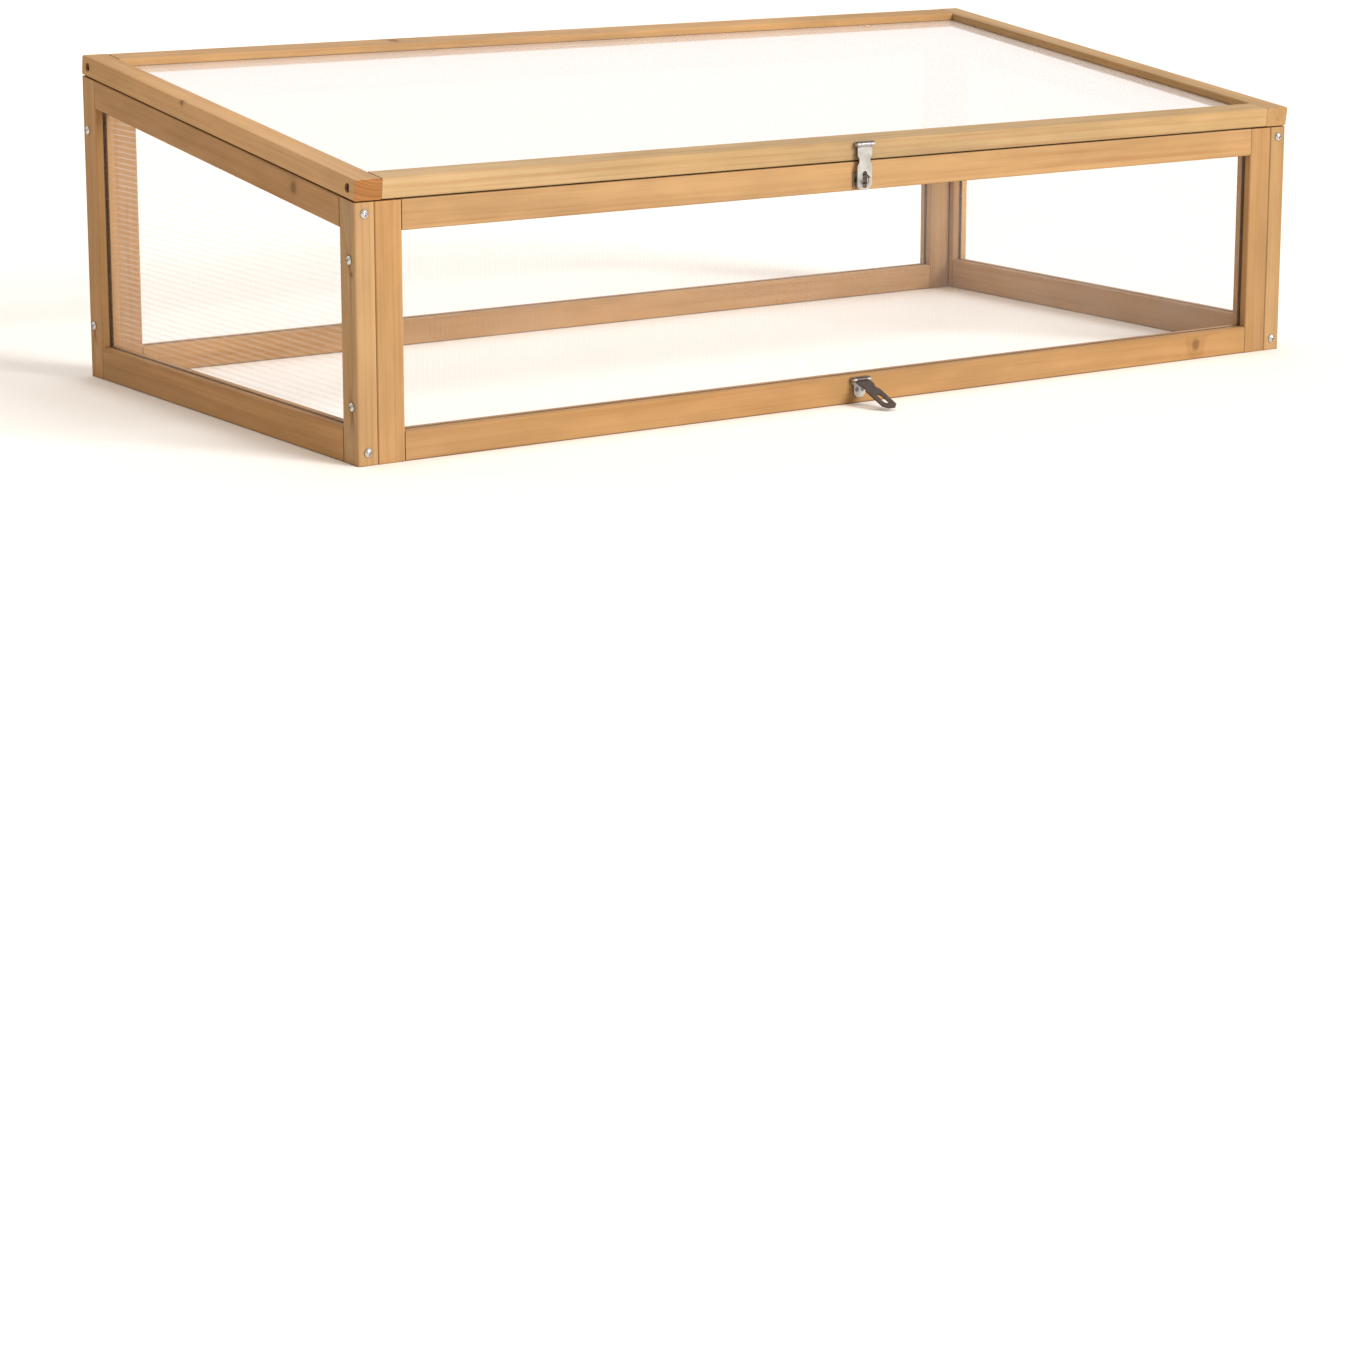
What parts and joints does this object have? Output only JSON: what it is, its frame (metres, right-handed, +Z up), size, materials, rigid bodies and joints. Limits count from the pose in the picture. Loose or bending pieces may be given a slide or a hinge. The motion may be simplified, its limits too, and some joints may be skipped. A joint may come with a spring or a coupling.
{
  "type": "cold frame",
  "caption": "Timber cold frame with twin-wall glazed sides, a sloping glazed lid hinged at the back, and two front hasps.",
  "frame": {"origin": "middle of the front bottom rail's underside, on the plane that the frame stands on", "axes": "+X along the front to the right, +Y from the front to the back, +Z up"},
  "size_m": [1.2054, 0.6639, 0.351],
  "materials": {
    "timber": "satin",
    "glazing": "gloss",
    "screws": "satin",
    "hinges": "satin",
    "hasps": "satin"
  },
  "bodies": {
    "frame": {"left_front_post": "timber", "left_rear_post": "timber", "left_top_rail": "timber", "left_bottom_rail": "timber", "left_glazing": "glazing", "right_front_post": "timber", "right_rear_post": "timber", "right_top_rail": "timber", "right_bottom_rail": "timber", "right_glazing": "glazing", "front_left_stile": "timber", "front_right_stile": "timber", "front_top_rail": "timber", "front_bottom_rail": "timber", "front_glazing": "glazing", "back_left_stile": "timber", "back_right_stile": "timber", "back_top_rail": "timber", "back_bottom_rail": "timber", "back_glazing": "glazing", "post_screws": "screws", "corner_screws": "screws", "front_stile_screws": "screws", "back_stile_screws": "screws", "left_hinge_frame_leaf": "hinges", "left_hinge_pin": "hinges", "right_hinge_frame_leaf": "hinges", "right_hinge_pin": "hinges", "hinge_frame_screws": "screws", "hasp_staple": "hasps", "staple_screws": "screws", "base_hasp_leaf": "hasps", "base_hasp_pin": "hasps", "base_hasp_screws": "screws"},
    "lid": {"lid_left_rail": "timber", "lid_right_rail": "timber", "lid_front_rail": "timber", "lid_rear_rail": "timber", "lid_glazing": "glazing", "lid_screws": "screws", "left_hinge_lid_leaf": "hinges", "right_hinge_lid_leaf": "hinges", "hinge_lid_screws": "screws", "lid_hasp_leaf": "hasps", "lid_hasp_pin": "hasps", "lid_hasp_screws": "screws"},
    "lid_hasp_strap": {"lid_hasp_strap": "hasps"},
    "base_hasp_strap": {"base_hasp_strap": "hasps"}
  },
  "joints": [
    {"name": "lid_hinge", "type": "hinge", "parent": "frame", "child": "lid", "pos_m": [0, 0.5924, 0.3296], "axis": [-1, 0, 0], "range_deg": [0, 105]},
    {"name": "lid_hasp_hinge", "type": "hinge", "parent": "lid", "child": "lid_hasp_strap", "pos_m": [0, -0.01658, 0.27365], "axis": [-1, 0, 0], "range_deg": [0, 165]},
    {"name": "base_hasp_hinge", "type": "hinge", "parent": "frame", "child": "base_hasp_strap", "pos_m": [0, -0.0144, 0.0255], "axis": [-1, 0, 0], "range_deg": [-68, 105]}
  ]
}
